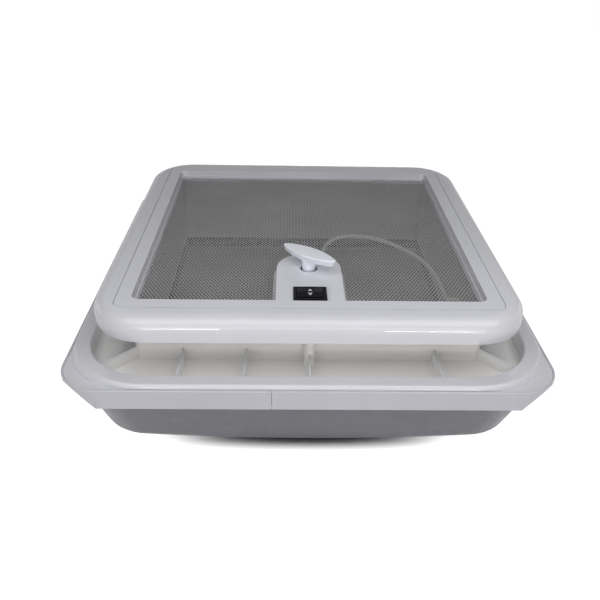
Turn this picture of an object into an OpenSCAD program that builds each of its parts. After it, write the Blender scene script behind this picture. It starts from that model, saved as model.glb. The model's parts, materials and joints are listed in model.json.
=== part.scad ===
// Caravan roof vent lying on its dome lid, with the room side up
// Millimetres, +Z up, origin under the middle of the dome's crown

/* [Overall] */
// Height of the room-side face above the flat under the dome
deck_z = 161.5; // [158:0.5:168]
// Thickness of the moulded walls
wall = 3; // [2.6:0.1:3.2]

/* [Screen frame] */
// Width of the square aperture
aperture_w = 350; // [310:1:390]
// Corner radius of the aperture
aperture_r = 8; // [6:0.5:12]
// Width of the frame's rails
rail_w = 14.7; // [14.4:0.1:16]
// Depth of the frame below the face
frame_h = 12.7; // [12:0.1:14]
// Width of the open groove round the frame
groove_w = 0.6; // [0.4:0.1:1]
// Width of the tongue that carries the controls
tongue_w = 68; // [62:0.2:74]
// Distance of the knob's axis from the aperture's front edge
knob_inset = 65; // [64:0.5:70]
// Width of the strands of the coarse net
strand_w = 1.2; // [1:0.1:1.6]

/* [Trim frame] */
// Width of the trim frame outside the groove
trim_lip = 23.7; // [21:0.1:27]
// Height of the trim frame's edge
trim_h = 24; // [22:0.5:26]
// Radius of the round on top of that edge
trim_round = 14; // [11:0.5:17]
// Outer corner radius of the trim frame
trim_r = 55; // [50:1:60]

/* [Base] */
// Distance of the throat's outer face outside the aperture
throat_step = 2.5; // [2:0.1:3]
// Outer corner radius of the throat
throat_r = 8; // [6:0.5:10]
// Depth of the throat's lid-side rim below the face
throat_drop = 117; // [112:1:120]
// Depth of the roof bonding face below the face
flange_drop = 55; // [53:0.5:57]
// Width of the pocket between the throat and the bonding face
pocket_gap = 45; // [42:0.5:50]
// Inner corner radius of the bonding face
pocket_r = 64; // [58:0.5:70]
// Depth of the pocket floor below the bonding face
pocket_depth = 16; // [14:0.5:17]
// Width of the bonding face
band_w = 17.5; // [16:0.1:19]
// Width of the flange's edge outside the bonding face
ring_lip = 2.8; // [2.6:0.1:3.4]
// Outer corner radius of the flange ring
ring_r = 42; // [38:1:46]
// Spacing of the gusset webs
web_pitch = 63.8; // [58:0.2:70]
// Thickness of the gusset webs
web_t = 1.6; // [1.4:0.1:2.4]
// Inward lean of the flange's corners in each millimetre of depth
corner_lean = 0.5; // [0.3:0.05:0.55]

/* [Lid] */
// Distance of the lid frame's edge inside the flange's edge
lid_gap = 6.3; // [6:0.1:8]
// Outer corner radius of the lid frame
lid_r = 67.5; // [62:0.5:70]
// Thickness of the dome
dome_wall = 3.5; // [3:0.1:4]
// Inward lean of the dome's sides in each millimetre of depth
dome_lean = 0.4; // [0.34:0.01:0.46]
// Radius of the dome's crown
crown_r = 1640; // [1600:10:1900]
// Depth that the flat takes off the crown
crown_flat = 1.5; // [1:0.1:2]

/* [Lift] */
// Widest angle of the lid in degrees
lid_open = 50; // [30:1:50]
// Number of teeth on the worm wheel
wheel_teeth = 24; // [24:1:24]
// Number of teeth on the shaft gear
gear_teeth = 28; // [28:1:28]
// Number of teeth on the motor pinion
pinion_teeth = 14; // [14:1:14]
// Radius of the worm shaft
shaft_r = 3; // [2.8:0.1:3]

/* [Hidden] */
$fn = 96;
white = [0.85, 0.85, 0.87];
smoke = [0.42, 0.42, 0.46];
black = [0.07, 0.07, 0.08];
grey = [0.45, 0.46, 0.48];
steel = [0.72, 0.73, 0.75];
brass = [0.75, 0.62, 0.35];
fit = 0.05;
clear = 0.4;
over = 1;

// Screen frame and trim frame
ap = aperture_w / 2;
pan = ap + rail_w;
pan_r = 10;
recess = pan + groove_w;
recess_r = pan_r + groove_w;
rib = 2.5;
ledge_w = 3.5;
ledge_t = 2.3;
net_t = 0.6;
net_count = 17;
net_pitch = aperture_w / net_count;
net_cell = net_pitch - strand_w;
bead_w = 2.6;
bead_h = 2;
z_seat = deck_z - frame_h;
z_ledge = z_seat - wall;
z_net = z_seat + ledge_t;
screw_line = ap + rail_w / 2;
screw_side = ap - 43;
cap_r = 4.9;
cap_h = 1.6;
trim_c = recess + trim_lip - trim_r;
edge_x = trim_r - trim_round;
edge_h = trim_h - trim_round;
z_trim = deck_z - trim_h;
tongue = tongue_w / 2;
knob_y = knob_inset - ap;
hub_hole_r = 9.2;

// Screws and their holes
screw_r = 1.6;
pilot_r = screw_r + 0.1;
hole_r = screw_r + 0.3;
head_r = 3.2;
head_h = 2;
trim_screw_l = 15;
boss_hole = trim_screw_l - wall + 2;
screen_screw_l = 16;
screen_seat = 5;
leaf_screw_r = 1.5;
leaf_head_r = 2.9;
leaf_head_h = 0.9;
motor_screw_r = 1.05;
motor_head_r = 2;
motor_head_h = 1.4;
housing_bite = 2.4;
motor_bite = 3.5;
boss_drop = 8;
foot_bite = 4;

// Base
th = ap + throat_step;
th_in = th - wall;
z_rim = deck_z - throat_drop;
z_bond = deck_z - flange_drop;
z_floor = z_bond - pocket_depth;
z_floor_low = z_floor - wall;
pk = th + pocket_gap;
band_c = pk - pocket_r;
band_x = pocket_r + band_w;
band_round = 4;
strip_t = 1.6;
ring_edge = pk + band_w + ring_lip;
ring = ring_edge - strip_t;
ring_c = ring_edge - ring_r;
z_ring = z_bond - 5;
step_r = 70;
step_h = 2;
corner_reach = ring_c * sqrt(2) + ring_r + 0.6;
boss_r = 5.5;
edging_t = 1.5;
edging_h = 12;

// Lid and hinges
hinge_y = -pk + 0.5;
hinge_z = z_floor_low - 5;
hinge_x = ap - 65;
hinge_w = 50;
knuckle_r = 4;
knuckle_gap = 1;
knuckle_w = (hinge_w - 2 * knuckle_gap) / 3;
pin_r = 1.5;
leaf_t = 2;
leaf_start = knuckle_r + 0.8;
leaf_l = 16;
leaf_screw_x = 15;
leaf_screw_y = leaf_start + 9;
z_lid = hinge_z - leaf_t;
lid_t = 3.5;
z_lid_low = z_lid - lid_t;
z_skirt = z_lid + 0.5;
skirt_short = 5;
lid_half = ring_edge - lid_gap;
lid_c = lid_half - lid_r;
lid_in = th + 6.5;
notch = 6;
dome_r = lid_r - 0.5;
crown_fn = 720;
seal_in = th + 10.5;
seal_x = seal_in - lid_c;
seal_w = 8;
seal_round = (z_floor_low - clear - z_lid) / 2;

// Lift gear: the arm is as long as its pivot is far from the hinge,
// so the lid turns half as far as the arm all the way
module_worm = 1.25;
lead = PI * module_worm;
worm_pitch_r = 6;
worm_l = 15;
worm_tip_r = worm_pitch_r + 1.1;
worm_root_r = worm_pitch_r - 1.4;
worm_tip_a = 27;
worm_root_a = 78;
wheel_pitch_r = module_worm * wheel_teeth / 2;
pivot_y = knob_y + worm_pitch_r + wheel_pitch_r;
arm_l = pivot_y - hinge_y;
tip_y = pivot_y + arm_l;
slot_y = tip_y - 2 * arm_l * (1 - cos(lid_open));
arm_x = 5;
arm_t = 3;
arm_h = 10;
arm_eye_r = 9;
arm_tip_r = 6;
roller_pin_r = 2;
track_x = 9.5;
track_t = 3;
roller_r = 5;
roller_w = 4.4;
slot_r = roller_r + 0.35;
pad_z = 8;
foot_t = 3;
foot_w = 16;
foot_reach = 13;
foot_screw_x = 8;
rail_h = slot_r + 5.5;
side_x = 14;
op_top = hinge_z + 20;
op_low = hinge_z - 19;
bearing_r = shaft_r + 0.06;
motor_y = knob_y - (gear_teeth + pinion_teeth) / 2;
motor_r = 11;
motor_l = 30;
gear_z = op_top + 2;
gear_t = 6;
arm_pin_r = 3;
sleeve_r = 6;

// Rocker switch
rocker_y = 13 - ap;
rocker_w = 33.5;
rocker_d = 24.5;
body_w = 29.4;
body_d = 20.9;
body_h = 22;
well_w = 27;
well_d = 18.8;
button_w = 26.2;
button_d = 17.2;
tilt_z = deck_z - 3;
terminal_pitch = 6;
z_terminal = deck_z - body_h - 7;
connector_h = 10;

// Lead from the connector to the grommet in the right-hand wall, with heights from the face
lead_r = 2.4;
lead_fit = 0.4;
lead_y = -140;
lead_exit = [th, lead_y, deck_z - 49];
clip_drop = 58;
clip_x = th_in - 12.5;
clip_places = [-106, -84];
lead_route = [
    [9.5, rocker_y + 4, -54], [15, rocker_y + 4, -54], [20, rocker_y + 12, -55], [22, knob_y - 15, -57],
    [22, pivot_y, -60], [22, -40, -61], [22, 15, -61], [26, 56, -61], [39, 81, -61], [57, 90, -60],
    [74, 91, -60], [92, 86, -60], [clip_x - 50, 74, -60], [clip_x - 31, 53, -60], [clip_x - 13, 25, -60],
    [clip_x - 3, -8, -60], [clip_x - 0.5, -42, -59], [clip_x, -78, -58], [clip_x, -112, -58],
    [clip_x + 1, -126, -55], [clip_x + 4, -136, -51], [clip_x + 10, lead_y, -49],
    [clip_x + 20, lead_y, -49], [clip_x + 28, lead_y, -49]
];

// Rounded square outline
module rsq(h, r) {
    square([2 * h, 2 * (h - r)], center = true);
    square([2 * (h - r), 2 * h], center = true);
    for (x = [-1, 1], y = [-1, 1]) translate([x * (h - r), y * (h - r)]) circle(r);
}

module slab(h, r, z0, z1) translate([0, 0, z0]) linear_extrude(z1 - z0) rsq(h, r);

module square_ring(ho, ro, hi, ri, z0, z1) {
    translate([0, 0, z0]) linear_extrude(z1 - z0) difference() {
        rsq(ho, ro);
        rsq(hi, ri);
    }
}

// Carries a section round a square with round corners centred c from the middle
module loop(c) {
    for (i = [0 : 3]) rotate(90 * i) {
        translate([c, c, 0]) rotate_extrude(angle = 90) children();
        translate([c, c, 0]) rotate([90, 0, 0]) linear_extrude(2 * c) children();
    }
}

// Repeats on the middle of all four sides
module four_sides(h) for (i = [0 : 3]) rotate(90 * i) translate([h, 0, 0]) children();

module screen_places() {
    for (x = [-1, 1], y = [-1, 1]) translate([x * screw_line, y * screw_side, 0]) children();
}

// Cylinder along x, starting at the given place
module rod_x(r, l) rotate([0, 90, 0]) cylinder(r = r, h = l);

// Cross-head screw with its seat at z = 0 and its shank below
module screw(r, l, head_r, head_h) {
    difference() {
        cylinder(r = head_r, h = head_h);
        for (a = [0, 90]) rotate(a) translate([-head_r * 0.6, -0.45, head_h * 0.45])
            cube([head_r * 1.2, 0.9, head_h]);
    }
    translate([0, 0, -l]) cylinder(r = r, h = l + 0.1);
}

// Aperture outline less the tongue, drawn in by an inset
module aperture_outline(inset) {
    difference() {
        rsq(ap - inset, aperture_r - inset);
        tongue_outline(tongue + inset);
    }
}

module tongue_outline(w) {
    translate([0, knob_y]) circle(w);
    translate([-w, -pan]) square([2 * w, pan + knob_y]);
}

// Gear blank with slender straight-sided teeth
module gear_outline(teeth, tip_r, root_r, tip_half, root_half, turn) {
    polygon([
        for (i = [0 : teeth - 1])
        for (e = [[root_r, -root_half], [tip_r, -tip_half], [tip_r, tip_half], [root_r, root_half]])
        let (a = turn + 360 * i / teeth + asin(e[1] / e[0])) e[0] * [cos(a), sin(a)]
    ]);
}

// Square duct through the roof, with bosses for the trim frame's screws
module throat() color(white) {
    difference() {
        union() {
            square_ring(th, throat_r, th_in, throat_r - wall, z_rim, z_ledge);
            four_sides(screw_line) translate([0, 0, z_floor]) cylinder(r = boss_r, h = z_ledge - z_floor);
        }
        four_sides(screw_line) translate([0, 0, z_ledge - boss_hole])
            cylinder(r = pilot_r, h = boss_hole + over);
        housing_places() rotate([90, 0, 0]) translate([0, 0, -over])
            cylinder(r = pilot_r, h = over + housing_bite + 0.1);
        translate(lead_exit - [wall + over, 0, 0]) rod_x(4.5, wall + 2 * over);
        slab(th_in, throat_r - wall, z_rim - over, z_ledge + over);
    }
}

// Roof flange: pocket floor, webs, bonding band and skirt round the throat
module base() color(white) {
    slot = th + fit;
    difference() {
        union() {
            square_ring(pk + wall, pocket_r + wall, slot, throat_r + fit, z_floor_low, z_floor);
            square_ring(pk + wall, pocket_r + wall, pk, pocket_r, z_floor_low, z_bond - wall);
            loop(band_c) band_section();
            square_ring(pk + band_w - 0.5, step_r, pk + band_w - wall / 2, band_x - wall / 2,
                z_ring - wall, z_ring + step_h);
            ring_skirt();
            gusset_webs();
        }
        four_sides(screw_line) translate([0, 0, z_floor]) cylinder(r = boss_r + fit, h = pocket_depth + over);
        leaf_places() translate([0, 0, z_floor_low - over])
            cylinder(r = leaf_screw_r + 0.1, h = wall + 2 * over);
        slab(slot, throat_r + fit, z_floor_low - over, z_bond + over);
    }
}

// Flange's edge with its corners drawn in towards the lid
module ring_block(inset, z0, z1) {
    high = z_ring + 2 * over;
    low = z_skirt - 2 * over;
    reach = corner_reach - inset;
    intersection() {
        slab(ring_edge - inset, ring_r - inset, z0, z1);
        translate([0, 0, low]) cylinder(r1 = reach - corner_lean * (z_ring - low),
            r2 = reach + corner_lean * (high - z_ring), h = high - low);
    }
}

module ring_skirt() {
    difference() {
        ring_block(strip_t, z_skirt + skirt_short, z_ring);
        ring_block(strip_t + wall, z_skirt + skirt_short - over, z_ring - wall);
        slab(pk + band_w - wall, band_x - wall, z_ring - 2 * wall, z_ring + over);
    }
}

// Bonding band: flat top with both edges rounded, hollow beneath
module band_section() {
    low = z_ring - wall;
    difference() {
        union() {
            translate([pocket_r + wall, low]) square([band_w - wall - band_round, z_bond - low]);
            translate([pocket_r, low]) square([band_w, z_bond - low - band_round]);
            translate([pocket_r + wall, z_bond - wall]) circle(wall);
            translate([band_x - band_round, z_bond - band_round]) circle(band_round);
        }
        translate([pocket_r + wall, low - over]) square([band_w - 2 * wall, z_bond - z_ring + over]);
    }
}

// Webs between the throat and the pocket wall, with one bay left wide at the front
module gusset_webs() {
    web_l = pk + 1 - th + wall / 2;
    web_h = z_bond - z_floor;
    for (i = [0 : 3], k = [-2 : 2])
        if (!(i == 3 && k == 1))
            rotate(90 * i) translate([th - wall / 2, k * web_pitch - web_t / 2, z_floor - over])
                cube([web_l, web_t, web_h]);
    corner = (th - throat_r * 0.3 - wall / 2) * sqrt(2);
    corner_end = band_c * sqrt(2) + pocket_r + 1;
    for (i = [0 : 3])
        rotate(45 + 90 * i) translate([corner, -web_t / 2, z_floor - over])
            cube([corner_end - corner, web_t, web_h]);
}

// Edge strip round the flange ring, with a bead on top and a butt joint at the front
module rim_strip() color(white) {
    joint_x = -37;
    joint_w = 0.4;
    bead_r = 1.3;
    strip_x = ring_r - strip_t;
    difference() {
        union() {
            difference() {
                ring_block(0, z_skirt, z_ring);
                ring_block(strip_t, z_skirt - over, z_ring + over);
            }
            loop(ring_c) difference() {
                translate([strip_x + 0.3, z_ring]) circle(bead_r);
                translate([strip_x - 2 * bead_r, z_ring - 2 * bead_r]) square(2 * bead_r);
            }
        }
        translate([joint_x, -ring - 5, z_skirt - over]) cube([joint_w, 10, z_ring - z_skirt + 5]);
    }
}

module throat_edging() color(black) {
    low = z_rim - 2;
    difference() {
        square_ring(th + edging_t, throat_r + edging_t, th_in - edging_t, throat_r - wall - edging_t,
            low, z_rim + edging_h);
        square_ring(th, throat_r, th_in, throat_r - wall, z_rim, z_rim + edging_h + over);
    }
}

module trim_frame() color(white) {
    difference() {
        union() {
            trim_shell();
            screen_places() translate([0, 0, z_ledge - boss_drop])
                cylinder(r = pilot_r + 2.3, h = boss_drop + wall / 2);
        }
        four_sides(screw_line) translate([0, 0, z_ledge - over]) cylinder(r = hole_r, h = wall + 2 * over);
        screen_places() translate([0, 0, z_ledge - boss_drop - over])
            cylinder(r = pilot_r, h = boss_drop + wall + 2 * over);
    }
}

module trim_shell() {
    difference() {
        loop(trim_c) {
            translate([0, z_trim]) square([edge_x, trim_h]);
            translate([0, z_trim]) square([trim_r, edge_h]);
            intersection() {
                translate([edge_x, z_trim + edge_h]) circle(trim_round);
                translate([edge_x - over, z_trim + over]) square([trim_round + 2 * over, trim_h]);
            }
        }
        difference() {
            loop(trim_c) {
                translate([0, z_trim - over]) square([edge_x, trim_h - wall + over]);
                translate([0, z_trim - over]) square([trim_r - wall, edge_h + over]);
                translate([edge_x, z_trim + edge_h]) circle(trim_round - wall);
            }
            slab(recess + wall, recess_r + wall, z_trim - 2 * over, deck_z);
        }
        slab(recess, recess_r, z_seat, deck_z + over);
        slab(recess, recess_r, z_trim - over, z_ledge);
        slab(th_in, throat_r - wall, z_ledge - over, z_seat + over);
    }
}

module trim_screws() color(steel) {
    four_sides(screw_line) translate([0, 0, z_seat]) screw(screw_r, trim_screw_l, head_r, head_h);
}

module screen_frame() color(white) {
    difference() {
        union() {
            translate([0, 0, deck_z - wall]) linear_extrude(wall) difference() {
                rsq(pan, pan_r);
                aperture_outline(0);
            }
            square_ring(pan, pan_r, pan - rib, pan_r - rib, z_seat, deck_z);
            translate([0, 0, z_seat]) linear_extrude(frame_h) difference() {
                aperture_outline(-rib);
                aperture_outline(0);
            }
            translate([0, 0, z_seat]) linear_extrude(ledge_t) difference() {
                aperture_outline(-rib);
                aperture_outline(ledge_w);
            }
            screen_places() translate([0, 0, z_seat]) cylinder(r = cap_r, h = frame_h);
        }
        translate([0, knob_y, deck_z - 2 * wall]) cylinder(r = hub_hole_r, h = 3 * wall);
        rocker_block(body_w + 0.2, body_d + 0.2, deck_z - 2 * wall, deck_z + over);
        rocker_block(rocker_w + 6, rocker_d + 4, deck_z - 0.8, deck_z + over);
        screen_places() {
            translate([0, 0, deck_z - cap_h]) cylinder(r = cap_r + fit, h = 2 * cap_h);
            translate([0, 0, deck_z - screen_seat]) cylinder(r = head_r + 0.2, h = screen_seat);
            translate([0, 0, z_seat - over]) cylinder(r = hole_r, h = frame_h);
        }
    }
}

module rocker_block(w, d, z0, z1) {
    translate([-w / 2, rocker_y - d / 2, z0]) cube([w, d, z1 - z0]);
}

module screen_screws() color(steel) {
    screen_places() translate([0, 0, deck_z - screen_seat])
        screw(screw_r, screen_screw_l, head_r, head_h);
}

module screen_caps() color(white) {
    screen_places() translate([0, 0, deck_z - cap_h]) cylinder(r = cap_r, h = cap_h - 0.1);
}

// Coarse stand-in for the fine woven screen
module fly_screen() color(grey) {
    translate([0, 0, z_net]) linear_extrude(net_t) difference() {
        aperture_outline(0.3);
        intersection() {
            aperture_outline(ledge_w);
            for (i = [0 : net_count - 1], j = [0 : net_count - 1])
                translate([net_pitch * (i + 0.5) - ap, net_pitch * (j + 0.5) - ap])
                    square(net_cell, center = true);
        }
    }
}

// Bead round the aperture, open where the tongue is
module screen_bead() color(white) {
    translate([0, 0, z_net + net_t]) linear_extrude(bead_h) difference() {
        aperture_outline(0.3);
        rsq(ap - bead_w, aperture_r - bead_w);
    }
}

module rocker_body() color(black) {
    bezel_low = deck_z - 0.8;
    difference() {
        union() {
            rocker_block(rocker_w, rocker_d, bezel_low, bezel_low + 1.6);
            rocker_block(body_w, body_d, deck_z - body_h, bezel_low + over);
        }
        rocker_block(well_w, well_d, deck_z - 10, deck_z + over);
        translate([-body_w, rocker_y, tilt_z]) rod_x(1.28, 2 * body_w);
    }
}

// Rocker with a shallow ridge, on two pivot stubs
module rocker_button() color(black) {
    half = button_d / 2;
    translate([-button_w / 2, rocker_y, 0]) rotate([90, 0, 90]) linear_extrude(button_w)
        polygon([[-half, tilt_z - 2.5], [half, tilt_z - 2.5], [half, deck_z + 1.4], [0, deck_z + 2.2],
            [-half, deck_z + 1.4]]);
    translate([-14.2, rocker_y, tilt_z]) rod_x(1.2, 28.4);
}

module rocker_terminals() color(brass) {
    for (k = [-1 : 1])
        translate([-3, rocker_y + terminal_pitch * k - 0.4, z_terminal]) cube([6, 0.8, 7]);
}

module housing_places() {
    for (x = [-1, 1], z = [-17, 15]) translate([x * 23, -th_in, hinge_z + z]) children();
}

// Bracket on the front wall: two cheeks with bearing plates for the worm shaft
module operator_housing() color(grey) {
    back = -th_in;
    reach = pivot_y + 10;
    difference() {
        union() {
            translate([-28, back, op_low - 2]) cube([56, wall, op_top - op_low + 4]);
            for (x = [-side_x - wall, side_x])
                translate([x, back, op_low]) cube([wall, reach - back, op_top - op_low]);
            translate([-side_x - 1, back, op_top - wall]) cube([2 * side_x + 2, knob_y + 12 - back, wall]);
            translate([-side_x - 1, back, op_low]) cube([2 * side_x + 2, knob_y + 7 - back, wall]);
        }
        translate([0, knob_y, op_low - over]) cylinder(r = bearing_r, h = op_top - op_low + 2 * over);
        translate([0, motor_y, op_top - wall - over]) cylinder(r = 4.1, h = wall + 2 * over);
        motor_places() translate([0, 0, op_top - wall - over])
            cylinder(r = motor_screw_r + 0.25, h = wall + 2 * over);
        translate([-side_x - wall - over, pivot_y, hinge_z])
            rod_x(arm_pin_r + 0.02, 2 * (side_x + wall + over));
        housing_places() rotate([90, 0, 0]) translate([0, 0, -wall - over])
            cylinder(r = hole_r, h = wall + 2 * over);
    }
}

module housing_screws() color(steel) {
    housing_places() translate([0, wall, 0]) rotate([-90, 0, 0])
        screw(screw_r, wall + housing_bite, head_r, head_h);
}

module motor_places() for (x = [-7.5, 7.5]) translate([x, motor_y, 0]) children();

// Small can motor hung under the top plate
module motor() color(steel) {
    top = op_top - wall;
    difference() {
        union() {
            translate([0, motor_y, top - motor_l]) cylinder(r = motor_r, h = motor_l);
            translate([0, motor_y, top - 0.5]) cylinder(r = 4, h = wall + 0.5);
        }
        translate([0, motor_y, top - 8]) cylinder(r = 1.25, h = 8 + wall + over);
        motor_places() translate([0, 0, top - motor_bite - 0.5])
            cylinder(r = motor_screw_r + 0.05, h = motor_bite + over);
    }
}

module motor_screws() color(steel) {
    motor_places() translate([0, 0, op_top])
        screw(motor_screw_r, wall + motor_bite, motor_head_r, motor_head_h);
}

module motor_pinion() color(brass) {
    translate([0, motor_y, gear_z]) linear_extrude(gear_t)
        gear_outline(pinion_teeth, 7.9, 5.7, 0.28, 0.8, 90 + 180 / pinion_teeth);
    translate([0, motor_y, op_top - wall - 7]) cylinder(r = 1.15, h = gear_z - op_top + wall + 7 + gear_t);
}

module shaft_gear() color(white) {
    translate([0, knob_y, gear_z]) difference() {
        linear_extrude(gear_t) gear_outline(gear_teeth, 14.9, 12.7, 0.28, 0.8, -90);
        translate([0, 0, -over]) cylinder(r = shaft_r, h = gear_t + 2 * over);
    }
}

module worm_shaft() color(steel) {
    low = op_low - 5;
    translate([0, knob_y, low]) cylinder(r = shaft_r, h = deck_z + 6 - low);
}

// Point on the worm's flank, from tip to root
function worm_flank(part, hand) =
    let (a = worm_tip_a + (worm_root_a - worm_tip_a) * part)
    (worm_tip_r - (worm_tip_r - worm_root_r) * part) * [cos(a), hand * sin(a)];

// Left-handed single-start worm, so the lid opens as the knob turns to the left
module worm() color(brass) {
    start = hinge_z - worm_l / 2;
    turn = 90 + 360 * (worm_l / 2 + lead / 2) / lead;
    root_gap = 360 - 2 * worm_root_a;
    difference() {
        translate([0, knob_y, start])
            linear_extrude(worm_l, twist = 360 * worm_l / lead, slices = 46, $fn = 16)
                rotate(turn) polygon(concat(
                    [for (a = [-worm_tip_a : 18 : worm_tip_a]) worm_tip_r * [cos(a), sin(a)]],
                    [for (k = [1 : 3]) worm_flank(k / 3, 1)],
                    [for (k = [1 : 6]) worm_root_r * [cos(worm_root_a + root_gap * k / 7),
                        sin(worm_root_a + root_gap * k / 7)]],
                    [for (k = [3 : -1 : 1]) worm_flank(k / 3, -1)]
                ));
        translate([0, knob_y, start - over]) cylinder(r = shaft_r, h = worm_l + 2 * over);
    }
}

module shaft_clip() color(steel) {
    translate([0, knob_y, op_low - 2.4]) difference() {
        cylinder(r = 6, h = 1.2);
        translate([0, 0, -over]) cylinder(r = shaft_r, h = 1.2 + 2 * over);
    }
}

// Wing knob: undercut lens-shaped grip on a hub that passes through the tongue
module wing_knob() color(white) {
    half_l = 33;
    half_w = 11;
    end_half = 4.5;
    undercut = 3;
    grip_z = deck_z + 11.5;
    grip_h = 8;
    side = half_w - end_half;
    arc_r = (half_l * half_l + side * side) / (2 * side);
    hub_r = 7;
    neck_r = 8.2;
    neck_z = deck_z + 4;
    hub_drop = 22;
    bore_l = hub_drop + 6;
    translate([0, knob_y, 0]) difference() {
        union() {
            translate([0, 0, grip_z]) rotate(-37) intersection() {
                translate([0, half_w - arc_r, 0]) cylinder(r1 = arc_r - undercut, r2 = arc_r, h = grip_h);
                translate([0, arc_r - half_w, 0]) cylinder(r1 = arc_r - undercut, r2 = arc_r, h = grip_h);
                translate([-half_l, -half_w, 0]) cube([2 * half_l, 2 * half_w, grip_h]);
            }
            translate([0, 0, deck_z - hub_drop]) cylinder(r = hub_r, h = grip_z + 1 - deck_z + hub_drop);
            translate([0, 0, neck_z]) cylinder(r1 = hub_r, r2 = neck_r, h = grip_z + 0.5 - neck_z);
        }
        translate([0, 0, deck_z - hub_drop - over]) cylinder(r = shaft_r, h = bore_l + over);
    }
}

// Lift arm with a sleeve that turns on the pivot pin
module lift_arm() color(steel) {
    sleeve_l = 2 * side_x - 2 * clear;
    difference() {
        union() {
            translate([-sleeve_l / 2, pivot_y, hinge_z]) rod_x(sleeve_r, sleeve_l);
            translate([arm_x, pivot_y, hinge_z]) rod_x(arm_eye_r, arm_t);
            translate([arm_x, pivot_y, hinge_z - arm_h / 2]) cube([arm_t, arm_l, arm_h]);
            translate([arm_x, tip_y, hinge_z]) rod_x(arm_tip_r, arm_t);
        }
        translate([-side_x, pivot_y, hinge_z]) rod_x(arm_pin_r + fit, 2 * side_x);
        translate([arm_x - over, tip_y, hinge_z]) rod_x(roller_pin_r, arm_t + 2 * over);
    }
}

module worm_wheel() color(white) {
    wheel_t = 4;
    translate([-wheel_t / 2, pivot_y, hinge_z]) rotate([90, 0, 90]) difference() {
        linear_extrude(wheel_t)
            gear_outline(wheel_teeth, wheel_pitch_r + 1.1, wheel_pitch_r - 1.5, 0.3, 0.9, 180);
        translate([0, 0, -over]) cylinder(r = sleeve_r, h = wheel_t + 2 * over);
    }
}

module arm_pin() color(steel) {
    half = side_x + wall + 2;
    translate([-half, pivot_y, hinge_z]) rod_x(arm_pin_r, 2 * half);
}

module arm_clips() color(steel) {
    for (x = [-side_x - wall - 1.2, side_x + wall + 0.2]) translate([x, pivot_y, hinge_z]) difference() {
        rod_x(5.5, 1);
        translate([-over, 0, 0]) rod_x(arm_pin_r, 1 + 2 * over);
    }
}

module arm_roller() color(white) {
    translate([arm_x + arm_t + 0.5, tip_y, hinge_z]) difference() {
        rod_x(roller_r, roller_w);
        translate([-over, 0, 0]) rod_x(roller_pin_r + fit, roller_w + 2 * over);
    }
}

module roller_pin() color(steel) {
    head_x = arm_x + arm_t + roller_w + 0.8;
    translate([arm_x - 0.5, tip_y, hinge_z]) rod_x(roller_pin_r, head_x - arm_x + 0.6);
    translate([head_x, tip_y, hinge_z]) rod_x(2 * roller_pin_r, 1);
}

function leg_places() = [slot_y - 2, tip_y + 2];

module foot_screw_places() {
    for (y = leg_places(), x = [track_x - foot_screw_x, track_x + track_t + foot_screw_x])
        translate([x, y, pad_z + foot_t]) children();
}

// Slotted rail on two legs, standing on pads inside the dome
module lid_track() color(steel) {
    difference() {
        union() {
            translate([track_x, slot_y - foot_w / 2 - 2, hinge_z - rail_h])
                cube([track_t, tip_y - slot_y + foot_w + 4, 2 * rail_h]);
            for (y = leg_places()) {
                translate([track_x, y - foot_w / 2, pad_z])
                    cube([track_t, foot_w, hinge_z - rail_h / 2 - pad_z]);
                translate([track_x - foot_reach, y - foot_w / 2, pad_z])
                    cube([track_t + 2 * foot_reach, foot_w, foot_t]);
            }
        }
        translate([track_x - over, slot_y - 1, hinge_z - slot_r])
            cube([track_t + 2 * over, tip_y - slot_y + 2, 2 * slot_r]);
        for (y = [slot_y - 1, tip_y + 1])
            translate([track_x - over, y, hinge_z]) rod_x(slot_r, track_t + 2 * over);
        foot_screw_places() translate([0, 0, -foot_t - over]) cylinder(r = hole_r, h = foot_t + 2 * over);
    }
}

module track_screws() color(steel) foot_screw_places() screw(screw_r, foot_t + foot_bite, head_r, head_h);

// Section of the dome's side, drawn in by an inset
module dome_side(inset, z_high) {
    r_low = dome_r - inset + dome_lean * (inset - z_lid_low);
    r_high = dome_r - inset + dome_lean * (z_high - z_lid_low);
    polygon([[0, inset], [r_low, inset], [r_high, z_high], [0, z_high]]);
}

module dome_block(inset, z_high) {
    intersection() {
        union() {
            loop(lid_c) dome_side(inset, z_high);
            translate([-lid_c, -lid_c, inset]) cube([2 * lid_c, 2 * lid_c, z_high - inset]);
        }
        translate([0, 0, crown_r - crown_flat]) sphere(crown_r - inset, $fn = crown_fn);
    }
}

// Crowned dome with leaning sides and pads for the track's feet
module lid_dome() color(smoke) {
    difference() {
        union() {
            difference() {
                dome_block(0, z_lid_low);
                dome_block(dome_wall, z_lid_low + over);
            }
            for (y = leg_places())
                translate([track_x - foot_reach - 1, y - foot_w / 2 - 1, dome_wall / 2])
                    cube([track_t + 2 * foot_reach + 2, foot_w + 2, pad_z - dome_wall / 2]);
        }
        foot_screw_places() translate([0, 0, -foot_t - foot_bite - 0.5])
            cylinder(r = screw_r, h = foot_bite + over);
    }
}

module hinge_places() for (x = [-hinge_x, hinge_x]) translate([x, hinge_y, 0]) children();

module leaf_places() {
    hinge_places() for (x = [-leaf_screw_x, leaf_screw_x]) translate([x, leaf_screw_y, 0]) children();
}

module lid_frame() color(white) {
    difference() {
        square_ring(lid_half, lid_r, lid_in, lid_in - lid_c, z_lid_low, z_lid);
        hinge_places() translate([-hinge_w / 2 - 1, -notch, z_lid_low - over])
            cube([hinge_w + 2, 2 * notch, lid_t + 2 * over]);
        leaf_places() translate([0, 0, z_lid_low - over])
            cylinder(r = leaf_screw_r + 0.1, h = lid_t + 2 * over);
    }
}

module lid_seal() color(black) {
    loop(lid_c) {
        translate([seal_x, z_lid]) square([seal_w, 2.5]);
        translate([seal_x + seal_w / 2, z_lid + seal_round]) circle(seal_round);
    }
}

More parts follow.
